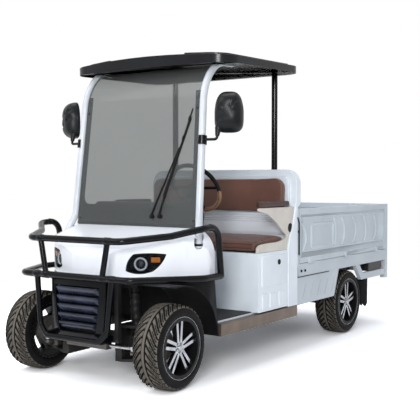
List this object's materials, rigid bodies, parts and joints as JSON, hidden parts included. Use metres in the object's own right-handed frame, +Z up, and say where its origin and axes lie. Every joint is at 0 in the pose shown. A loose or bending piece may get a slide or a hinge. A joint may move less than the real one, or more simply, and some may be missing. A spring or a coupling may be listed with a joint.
{
  "type": "utility golf cart",
  "caption": "Open electric utility cart with a bench seat, canopy roof, windscreen, tubular front guard and a cargo bed with drop sides and tailgate.",
  "frame": {"origin": "on the ground under the middle of the cart's length and width", "axes": "+Z up, the nose points to -Y, the driver's side of the cart is +X"},
  "size_m": [1.396, 3.051, 1.9147],
  "materials": {
    "pearl_white": "gloss",
    "body_white": "semi gloss",
    "gloss_black": "gloss",
    "black_plastic": "satin",
    "grille_black": "satin",
    "frame_black": "matte",
    "smoked_acrylic": "gloss",
    "lamp_clear": "gloss",
    "lamp_reflector": "gloss",
    "tyre": "matte",
    "alloy": "machined",
    "steel": "satin",
    "cast_metal": "matte",
    "sill_bronze": "satin",
    "floor_rubber": "ribbed matte",
    "brown_vinyl": "satin",
    "cream_plastic": "satin",
    "dash_plastic": "satin",
    "lamp_red": "gloss",
    "battery_case": "matte"
  },
  "bodies": {
    "cart": {"armrest_pad_left": "brown_vinyl", "armrest_pad_right": "brown_vinyl", "armrest_support_left": "cream_plastic", "armrest_support_right": "cream_plastic", "battery_pack": "battery_case", "bed_body": "body_white", "bull_bar": "gloss_black", "chassis_frame": "frame_black", "cowl": "pearl_white", "dashboard": "dash_plastic", "door_mirrors": "black_plastic", "drive_motor": "cast_metal", "floor_mat": "floor_rubber", "floor_pan": "frame_black", "front_dampers": "steel", "front_fenders": "black_plastic", "front_wishbones": "frame_black", "grille": "grille_black", "headlamp_buckets": "lamp_reflector", "headlamp_lenses": "lamp_clear", "leaf_springs": "frame_black", "mudflaps": "floor_rubber", "rack_housing": "cast_metal", "rear_axle": "cast_metal", "rear_bumper": "frame_black", "roof": "gloss_black", "roof_frame": "gloss_black", "screen_struts": "pearl_white", "seat_arch": "body_white", "seat_back": "brown_vinyl", "seat_box": "body_white", "seat_cushion": "brown_vinyl", "side_skirts": "body_white", "sills": "sill_bronze", "steering_column": "black_plastic", "tail_lamps": "lamp_red", "windscreen": "smoked_acrylic", "wiper": "black_plastic"},
    "wheel_front_left": {"front_tyre_left": "tyre", "front_rim_left": "alloy"},
    "wheel_front_right": {"front_tyre_right": "tyre", "front_rim_right": "alloy"},
    "wheel_rear_left": {"rear_tyre_left": "tyre", "rear_rim_left": "alloy"},
    "wheel_rear_right": {"rear_tyre_right": "tyre", "rear_rim_right": "alloy"},
    "knuckle_left": {"upright_left": "cast_metal"},
    "knuckle_right": {"upright_right": "cast_metal"},
    "steering_rod": {"track_rod": "steel"},
    "hand_wheel": {"steering_wheel": "black_plastic"},
    "gate_left": {"side_gate_left": "body_white"},
    "gate_right": {"side_gate_right": "body_white"},
    "gate_rear": {"tailgate": "body_white"}
  },
  "joints": [
    {"name": "steer_left", "type": "hinge", "parent": "cart", "child": "knuckle_left", "pos_m": [0.36, -1.2595, 0.235], "axis": [0, 0, 1], "range_deg": [-28, 28]},
    {"name": "steer_right", "type": "hinge", "parent": "cart", "child": "knuckle_right", "pos_m": [-0.36, -1.2595, 0.235], "axis": [0, 0, 1], "range_deg": [-28, 28]},
    {"name": "steering_wheel_turn", "type": "hinge", "parent": "cart", "child": "hand_wheel", "pos_m": [0.23, -0.6475, 1.092], "axis": [0, 0.829, 0.5592], "range_deg": [-420, 420]},
    {"name": "track_rod_slide", "type": "slide", "parent": "cart", "child": "steering_rod", "axis": [1, 0, 0], "range_m": [-0.0575, 0.0575]},
    {"name": "spin_front_left", "type": "hinge", "parent": "knuckle_left", "child": "wheel_front_left", "pos_m": [0.486, -1.2595, 0.235], "axis": [1, 0, 0], "continuous": true},
    {"name": "spin_front_right", "type": "hinge", "parent": "knuckle_right", "child": "wheel_front_right", "pos_m": [-0.486, -1.2595, 0.235], "axis": [1, 0, 0], "continuous": true},
    {"name": "spin_rear_left", "type": "hinge", "parent": "cart", "child": "wheel_rear_left", "pos_m": [0.486, 0.8405, 0.235], "axis": [1, 0, 0], "continuous": true},
    {"name": "spin_rear_right", "type": "hinge", "parent": "cart", "child": "wheel_rear_right", "pos_m": [-0.486, 0.8405, 0.235], "axis": [1, 0, 0], "continuous": true},
    {"name": "side_gate_left_drop", "type": "hinge", "parent": "cart", "child": "gate_left", "pos_m": [0.603, 0.75, 0.584], "axis": [0, 1, 0], "range_deg": [0, 178]},
    {"name": "side_gate_right_drop", "type": "hinge", "parent": "cart", "child": "gate_right", "pos_m": [-0.603, 0.75, 0.584], "axis": [0, -1, 0], "range_deg": [0, 178]},
    {"name": "tailgate_drop", "type": "hinge", "parent": "cart", "child": "gate_rear", "pos_m": [0, 1.5105, 0.584], "axis": [-1, 0, 0], "range_deg": [0, 178]}
  ],
  "couplings": [
    {"joint": "steer_right", "follows": "steer_left", "ratio": 1},
    {"joint": "steering_wheel_turn", "follows": "steer_left", "ratio": 14},
    {"joint": "track_rod_slide", "follows": "steer_left", "m_per_rad": 0.112}
  ]
}
